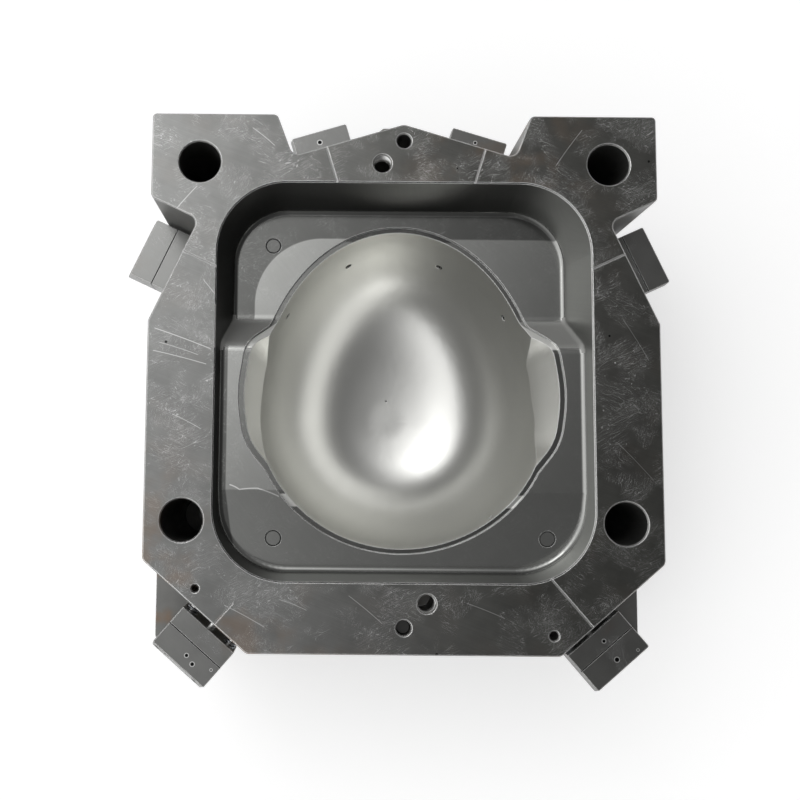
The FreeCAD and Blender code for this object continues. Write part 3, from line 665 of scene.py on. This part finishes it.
@dataclass(frozen=True)
class CoreSteel:
    """Ground steel of the side cores, in a lit copy and a shaded copy: painted light on the left, painted
    shade on the right.
    """

    name: str
    side: Side
    tone: tuple[float, float, float]
    rust: tuple[float, float, float] = (0.19, 0.13, 0.09)
    scored: tuple[float, float, float] = (0.7, 0.7, 0.7)
    rim_highlight: tuple[float, float, float] = (0.9, 0.9, 0.89)
    wear_and_highlight: tuple[float, float, float] = (0.97, 0.97, 0.96)
    roughness: float = 0.30
    edge_r: float = 0.6 * MM
    seam_fade: tuple[float, float] = (0.35, 0.75)
    seam_reach: float = 75 * MM

    @staticmethod
    def marks(t: Tree) -> tuple[Signal, Signal]:
        """The small punched marks on the cores' tops, drawn as painted shade in each hole and a painted
        highlight round it.

        Args:
            t: The tree that takes them.

        Returns:
            Masks of the dark holes and of their bright rims.
        """
        x, y, _ = t.axes(t.place)
        holes = rim_highlights = None
        for across, along, radius in PUNCH_MARKS:
            reach = ((x - across * MM) ** 2.0 + (y - along * MM) ** 2.0) ** 0.5 / MM
            hole = 1 - reach.step(radius - HOLE_FADE, radius)
            rim_highlight = (1 - abs(reach - radius - RIM_OUT) / RIM_FADE).highest(0.0)
            holes = hole if holes is None else holes.highest(hole)
            rim_highlights = rim_highlight if rim_highlights is None else rim_highlights.highest(rim_highlight)
        return holes, rim_highlights

    def joints(self, t: Tree) -> Signal:
        """The dark joints between each retainer and its heel block, as a mask."""
        y = t.axes(t.place)[1]
        dark = None
        for core in CORES:
            if not core.endswith(self.side.value):
                continue
            out = Vector(pin_line(core)[0])
            corners = [v.co for v in bpy.data.objects["heel_block_" + core].data.vertices]
            seam = min(corner.dot(out) for corner in corners)
            middle = sum(corner.y for corner in corners) / len(corners)
            line = 1 - (abs(t.dot(t.place, tuple(out)) - seam) / MM).step(*self.seam_fade)
            line = line * (abs(y - middle) < self.seam_reach)
            dark = line if dark is None else dark.highest(line)
        return dark

    def build(self) -> bpy.types.Material:
        """Make the material."""
        t = Tree(bpy.data.materials.new(self.name))
        cloud = t.noise(42.0, 5.0)
        lines = t.noise(8.0, 3.0, t.stretched(0.6, (6.0, 300.0, 6.0)))
        grain = t.noise(1100.0, 2.0)
        stretched = t.stretched(1.2, (4.0, 42.0, 4.0))
        edge = Signal(t, t.cells("DISTANCE_TO_EDGE", 24.0, stretched).outputs["Distance"])
        mark = (edge < 0.008) * t.noise(31.0, 2.0).step(0.55, 0.62)
        tone = t.tinted(t.colour(self.tone), 0.78 + cloud * 0.30 + lines * 0.16)
        stain = t.noise(17.0, 5.0).step(0.56, 0.72)
        tone = t.mix(stain * 0.30, tone, t.colour(self.rust))
        tone = t.mix(mark * 0.5, tone, t.colour(self.scored))
        rough = self.roughness + cloud * 0.12 + (grain - 0.5) * 0.05
        height = (lines * 8 + grain * 3 - mark * 20) * MICRON
        bent, edge = t.rounded(self.edge_r)
        holes, rim_highlights = self.marks(t)
        holes = holes.highest(self.joints(t))
        # Painted highlight round the punched marks, then painted shade in them and the dark joints.
        tone = t.mix(rim_highlights, tone, t.colour(self.rim_highlight))
        tone = t.tinted(tone, 1 - holes * 0.94)
        # Painted highlight with some wear along the edges, kept off the punched marks and joints.
        edge_wear_and_highlight = edge * (0.65 + cloud * 0.45) * (1 - holes)
        tone = t.mix(edge_wear_and_highlight, tone, t.colour(self.wear_and_highlight))
        t.finish(tone, rough, height, metallic=1 - edge_wear_and_highlight * 0.7, bent=bent)
        return t.material


@dataclass(frozen=True)
class TurnedSteel:
    """Plain turned or ground steel for pins, bushes, plates and screws."""

    name: str
    tone: tuple[float, float, float]
    roughness: float
    spread: float = 0.25
    metallic: float = 1.0

    def build(self) -> bpy.types.Material:
        """Make the material."""
        t = Tree(bpy.data.materials.new(self.name))
        cloud = t.noise(55.0, 4.0)
        rings = t.noise(700.0, 2.0)
        tone = t.tinted(t.colour(self.tone), (1 - self.spread / 2) + cloud * self.spread)
        rough = self.roughness + (cloud - 0.5) * 0.12 + (rings - 0.5) * 0.05
        t.finish(tone, rough, rings * 4 * MICRON, self.metallic)
        return t.material


@dataclass
class Workshop:
    """All finishes, made once."""

    made: dict[str, bpy.types.Material] = field(default_factory=dict)

    def __post_init__(self) -> None:
        """Build every finish."""
        finishes = [
            BlockSteel(),
            # The side core steel in two copies: painted light for the left cores, painted shade for the
            # right.
            CoreSteel("side_core_painted_lit", Side.LEFT, (0.225, 0.226, 0.220)),
            CoreSteel("side_core_painted_shade", Side.RIGHT, (0.17, 0.17, 0.164), roughness=0.34),
            TurnedSteel("plate_steel", (0.34, 0.34, 0.334), 0.38),
            TurnedSteel("ground_steel", (0.62, 0.62, 0.61), 0.24),
            TurnedSteel("bush_steel", (0.07, 0.07, 0.068), 0.35),
            TurnedSteel("black_screw", (0.035, 0.035, 0.035), 0.42, 0.4, 0.8),
            TurnedSteel("spring_steel", (0.30, 0.31, 0.33), 0.28),
            TurnedSteel("brass_plug", (0.62, 0.46, 0.20), 0.30),
        ]
        for finish in finishes:
            self.made[finish.name] = finish.build()

    def dress(self, piece: bpy.types.Object, name: str) -> None:
        """Give a piece one finish all over."""
        piece.data.materials.clear()
        piece.data.materials.append(self.made[name])


def pin_line(core: str) -> tuple[tuple[float, float, float], tuple[float, float, float]]:
    """Where a core pin lies.

    Args:
        core: The side core's name.

    Returns:
        The outward direction of the pin's line and a point on it, in metres.
    """
    joint = next(j for j in FRAME["joints"] if j["name"] == "slide_" + core)
    low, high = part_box("core_pin_" + core)
    middle = (Vector(low) + Vector(high)) / 2
    return tuple(joint["axis"]), tuple(middle)


def link(name: str, mesh: bmesh.types.BMesh) -> bpy.types.Object:
    """Turn a bmesh into an object of the scene.

    Args:
        name: The object's name.
        mesh: The finished bmesh, which is freed.

    Returns:
        The new object.
    """
    data = bpy.data.meshes.new(name)
    mesh.to_mesh(data)
    mesh.free()
    piece = bpy.data.objects.new(name, data)
    bpy.context.scene.collection.objects.link(piece)
    return piece


@dataclass
class ReturnSprings:
    """The coil springs round one side core's two bolts."""

    shop: Workshop
    core: str
    wire_r: float = 1.0 * MM
    wire_sides: int = 10
    pitch: float = 3.4 * MM
    steps: int = 20
    fewest_turns: int = 3

    def build(self) -> bpy.types.Object:
        """Wind both coils where the plain sleeves are.

        Returns:
            The piece with both coils.
        """
        joint = next(j for j in FRAME["joints"] if j["name"] == "slide_" + self.core)
        out = Vector(joint["axis"]).normalized()
        along = Vector((-out.y, out.x, 0))
        points = [Vector(v.co) for v in bpy.data.objects["springs_" + self.core].data.vertices]
        middle = sum(points, Vector()) / len(points)
        mesh = bmesh.new()
        for side in (-1, 1):
            group = [p for p in points if (p - middle).dot(along) * side > 0]
            self.wind(mesh, group, out, along)
        bmesh.ops.recalc_face_normals(mesh, faces=mesh.faces)
        for face in mesh.faces:
            face.smooth = True
        piece = link("coils_" + self.core, mesh)
        self.shop.dress(piece, "spring_steel")
        start, end = self.ends(points, out)
        base = middle - out * middle.dot(out)
        near, far = tuple(base + out * start), tuple(base + out * end)
        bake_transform(piece)
        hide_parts("springs_" + self.core)
        LOG.info("wound %s", piece.name)
        return piece

    @staticmethod
    def ends(points: list[Vector], out: Vector) -> tuple[float, float]:
        """Lowest and highest place of points along a direction."""
        places = [p.dot(out) for p in points]
        return min(places), max(places)

    def wind(self, mesh: bmesh.types.BMesh, group: list[Vector], out: Vector, along: Vector) -> None:
        """Wind one coil in the room of one sleeve.

        Args:
            mesh: The bmesh that takes the coil.
            group: The sleeve's corner points.
            out: The direction of the slide.
            along: The direction along the flank.
        """
        start, end = self.ends(group, out)
        low, high = self.ends(group, along)
        floor, roof = self.ends(group, Vector((0, 0, 1)))
        radius = (roof - floor) / 2 - self.wire_r
        centre = along * (low + high) / 2 + Vector((0, 0, (floor + roof) / 2))
        length = end - start - 2 * self.wire_r
        turns = max(self.fewest_turns, round(length / self.pitch))
        turn = Matrix((along, Vector((0, 0, 1)), out)).transposed().to_4x4()
        foot = centre + out * (start + self.wire_r)
        ring = bmesh.ops.create_circle(mesh, segments=self.wire_sides, radius=self.wire_r, cap_ends=True)
        stand = Matrix.Rotation(math.pi / 2, 4, "X")
        place = Matrix.Translation(foot) @ turn @ Matrix.Translation((radius, 0, 0)) @ stand
        bmesh.ops.transform(mesh, matrix=place, verts=ring["verts"])
        faces = list({f for v in ring["verts"] for f in v.link_faces})
        bmesh.ops.spin(
            mesh,
            geom=ring["verts"] + list({e for f in faces for e in f.edges}) + faces,
            angle=math.tau * turns,
            steps=turns * self.steps,
            axis=out,
            cent=foot,
            dvec=out * (length / (turns * self.steps)),
            use_duplicate=False,
        )


@dataclass
class Thread:
    """A cut thread in one tapped hole of the parting face."""

    shop: Workshop
    name: str
    place: tuple[float, float]
    radius: float = 8.75 * MM
    pitch: float = 2.2 * MM
    depth: float = 16 * MM
    start: float = 1.4 * MM
    bite: float = 0.1 * MM
    height: float = 0.75 * MM
    foot_share: float = 0.45
    crest_share: float = 0.08
    steps: int = 40

    def build(self) -> bpy.types.Object:
        """Spin the thread's ridge down the hole.

        Returns:
            The new piece.
        """
        mesh = bmesh.new()
        top = CAVITY.face_z - self.start
        turns = int((self.depth - self.start) / self.pitch)
        wall = self.radius + self.bite
        crest = self.radius - self.height
        half = self.pitch * self.foot_share
        flat = self.pitch * self.crest_share
        profile = [(wall, -half), (crest, -flat), (crest, flat), (wall, half)]
        verts = [mesh.verts.new((self.place[0] + r, self.place[1], top + z - half)) for r, z in profile]
        face = mesh.faces.new(verts)
        bmesh.ops.spin(
            mesh,
            geom=verts + list(face.edges) + [face],
            angle=math.tau * turns,
            steps=self.steps * turns,
            axis=(0, 0, 1),
            cent=(self.place[0], self.place[1], top),
            dvec=(0, 0, -self.pitch / self.steps),
            use_duplicate=False,
        )
        bmesh.ops.recalc_face_normals(mesh, faces=mesh.faces)
        piece = link("thread_" + self.name, mesh)
        self.shop.dress(piece, "ground_steel")
        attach(piece, ROOT)
        LOG.info("cut %s", piece.name)
        return piece


@dataclass
class Fittings:
    """The carried-over pieces, each with its own finish."""

    shop: Workshop

    def finish_of(self, node: str) -> str:
        """Name the finish of one node."""
        if node.startswith(("retainer", "heel_block")):
            # Left cores take the painted-light copy of the core steel, right cores the painted-shade copy.
            return "side_core_painted_lit" if Side(node.rsplit("_", 1)[1]) is Side.LEFT else "side_core_painted_shade"
        if node.startswith(("guide_bush", "face_dowel")):
            return "bush_steel"
        if node.startswith(("core_pin", "plate_dowels", "shoulder_bolts")):
            return "ground_steel"
        if node.startswith(("join_screws", "ring_screws", "clamp_screws")):
            return "black_screw"
        if node.startswith("springs"):
            return "spring_steel"
        if node == "cooling_plugs":
            return "brass_plug"
        return "mould_steel" if node.startswith(("cavity_block", "floor_plug")) else "plate_steel"

    def build(self) -> None:
        """Dress every node of the frame."""
        for node in FRAME["nodes"]:
            piece = bpy.data.objects[node]
            self.shop.dress(piece, self.finish_of(node))
            LOG.info("dressed %s", node)


@dataclass(frozen=True)
class Lamp:
    """One soft lamp of the studio, in metres and watts."""

    name: str
    place: tuple[float, float, float]
    size: tuple[float, float]
    power: float
    aim: tuple[float, float, float] = (0.0, 0.0, 0.2)
    colour: tuple[float, float, float] = (1.0, 1.0, 1.0)

    def build(self) -> None:
        """Hang the lamp and aim it."""
        data = bpy.data.lights.new(self.name, "AREA")
        data.shape = "RECTANGLE"
        data.size, data.size_y = self.size
        data.energy = self.power
        data.color = self.colour
        lamp = bpy.data.objects.new(self.name, data)
        lamp.location = self.place
        lamp.rotation_euler = (Vector(self.aim) - Vector(self.place)).to_track_quat("-Z", "Y").to_euler()
        bpy.context.scene.collection.objects.link(lamp)


@dataclass(frozen=True)
class Glow:
    """One wide soft light of the room."""

    towards: tuple[float, float, float]
    peak: float
    sharpness: float
    middle: float

    def light(self, t: Tree) -> Signal:
        """How bright the room is in each direction because of this light."""
        near = t.dot(t.place, self.towards)
        return self.peak / (1 + t.math("EXPONENT", (self.middle - near) * self.sharpness))


@dataclass
class Studio:
    """Floor, background, lamp and the camera of the photograph."""

    floor_z: float = -10 * MM
    floor_half: float = 12.0
    floor_tone: tuple[float, float, float, float] = (0.86, 0.86, 0.86, 1)
    wall_rise: tuple[float, float] = (0.06, 0.20)
    focal_px: float = 770.0
    frame_px: float = 800.0
    centre_px: tuple[float, float] = (319.26, 429.33)
    sensor: float = 36.0
    eye: tuple[float, float, float] = (-80.02 * MM, -103.54 * MM, 741.15 * MM)
    floor_glow: float = 0.42
    room: float = 0.155
    glows: tuple["Glow", ...] = (
        Glow((-0.362, 0.453, 0.815), 3.5, 14.0, 0.997),
        Glow((-0.857, -0.414, 0.306), 1.7, 6.1, 0.80),
    )
    tilt: tuple[tuple[float, float, float], ...] = (
        (0.99995801, -0.00890394, 0.00216558),
        (0.00903653, 0.99737527, -0.07183952),
        (-0.00152024, 0.07185607, 0.99741385),
    )

    def camera(self) -> None:
        """Set the camera up as it was for the photograph."""
        data = bpy.data.cameras.new("camera")
        data.sensor_width = self.sensor
        data.lens = self.focal_px / self.frame_px * self.sensor
        data.shift_x = 0.5 - self.centre_px[0] / self.frame_px
        data.shift_y = self.centre_px[1] / self.frame_px - 0.5
        data.clip_start = 0.01
        camera = bpy.data.objects.new("camera", data)
        place = Matrix.Translation(Vector(self.eye) + Vector((0, 0, CAVITY.face_z)))
        camera.matrix_world = place @ Matrix(self.tilt).to_4x4()
        bpy.context.scene.collection.objects.link(camera)
        bpy.context.scene.camera = camera

    def floor(self) -> None:
        """Lay the pale floor under the locating ring."""
        mesh = bmesh.new()
        bmesh.ops.create_grid(mesh, x_segments=1, y_segments=1, size=self.floor_half)
        bmesh.ops.translate(mesh, verts=mesh.verts, vec=(0, 0, self.floor_z))
        floor = link("floor", mesh)
        t = Tree(bpy.data.materials.new("floor"))
        path = t.node("ShaderNodeLightPath", {}, {})
        seen = Signal(t, path.outputs["Is Camera Ray"]).highest(Signal(t, path.outputs["Is Glossy Ray"]))
        seen = seen.highest(Signal(t, path.outputs["Is Transmission Ray"]))
        paint = t.node("ShaderNodeBsdfDiffuse", {}, {"Color": self.floor_tone})
        glow = t.node("ShaderNodeEmission", {}, {"Color": WHITE, "Strength": self.floor_glow})
        both = {0: Signal(t, paint.outputs[0]), 1: Signal(t, glow.outputs[0])}
        lit = t.node("ShaderNodeAddShader", {}, both)
        sides = {0: seen, 1: Signal(t, paint.outputs[0]), 2: Signal(t, lit.outputs[0])}
        mix = t.node("ShaderNodeMixShader", {}, sides)
        out = t.node("ShaderNodeOutputMaterial", {}, {})
        t.links.new(mix.outputs[0], out.inputs["Surface"])
        floor.data.materials.append(t.material)
        floor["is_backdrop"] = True

    def world(self) -> None:
        """A room with white lower walls, one wide soft window light and a dim far side."""
        world = bpy.data.worlds.new("room")
        bpy.context.scene.world = world
        t = Tree(world, "Generated")
        glow = sum((glow.light(t) for glow in self.glows), self.room)
        low = 1 - t.axes(t.place)[2].step(*self.wall_rise)
        path = t.node("ShaderNodeLightPath", {}, {})
        backdrop = low.highest(Signal(t, path.outputs["Is Camera Ray"]))
        light = t.fade(backdrop, glow, 1.0)
        white = t.node("ShaderNodeBackground", {}, {"Color": WHITE, "Strength": light})
        out = t.node("ShaderNodeOutputWorld", {}, {})
        t.links.new(white.outputs[0], out.inputs["Surface"])

    @staticmethod
    def lamps() -> None:
        """Hang the one lamp."""
        Lamp("key", (-0.94, 1.18, 2.12), (0.8, 0.8), 3.5).build()

    def build(self) -> None:
        """Set up the whole studio."""
        bpy.context.scene.view_settings.view_transform = "Standard"
        self.camera()
        self.floor()
        self.world()
        self.lamps()


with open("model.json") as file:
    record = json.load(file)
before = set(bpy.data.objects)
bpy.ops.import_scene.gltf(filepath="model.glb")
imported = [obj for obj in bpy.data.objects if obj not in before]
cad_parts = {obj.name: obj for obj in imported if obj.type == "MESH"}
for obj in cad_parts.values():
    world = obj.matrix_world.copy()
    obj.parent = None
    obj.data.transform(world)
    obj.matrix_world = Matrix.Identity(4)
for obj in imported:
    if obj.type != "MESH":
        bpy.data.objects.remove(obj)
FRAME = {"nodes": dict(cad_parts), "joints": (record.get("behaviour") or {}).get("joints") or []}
CAD_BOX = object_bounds()


def write_sizes() -> None:
    """Work out the CAD box and the dressed box side by side, without writing them."""
    boxes = {"cad": CAD_BOX, "visual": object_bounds()}
    boxes = {name: [list(corner) for corner in box] for name, box in boxes.items()}


def main() -> None:
    """Build the scene in order."""
    logging.basicConfig(level=logging.INFO, format="%(message)s")
    Studio().build()
    shop = Workshop()
    Fittings(shop).build()
    for core in CORES:
        ReturnSprings(shop, core).build()
    Thread(shop, "top", (-21.4 * MM, 214.2 * MM)).build()
    Thread(shop, "bottom", (21.9 * MM, -215.5 * MM)).build()
    write_sizes()


if __name__ == "__main__":
    main()
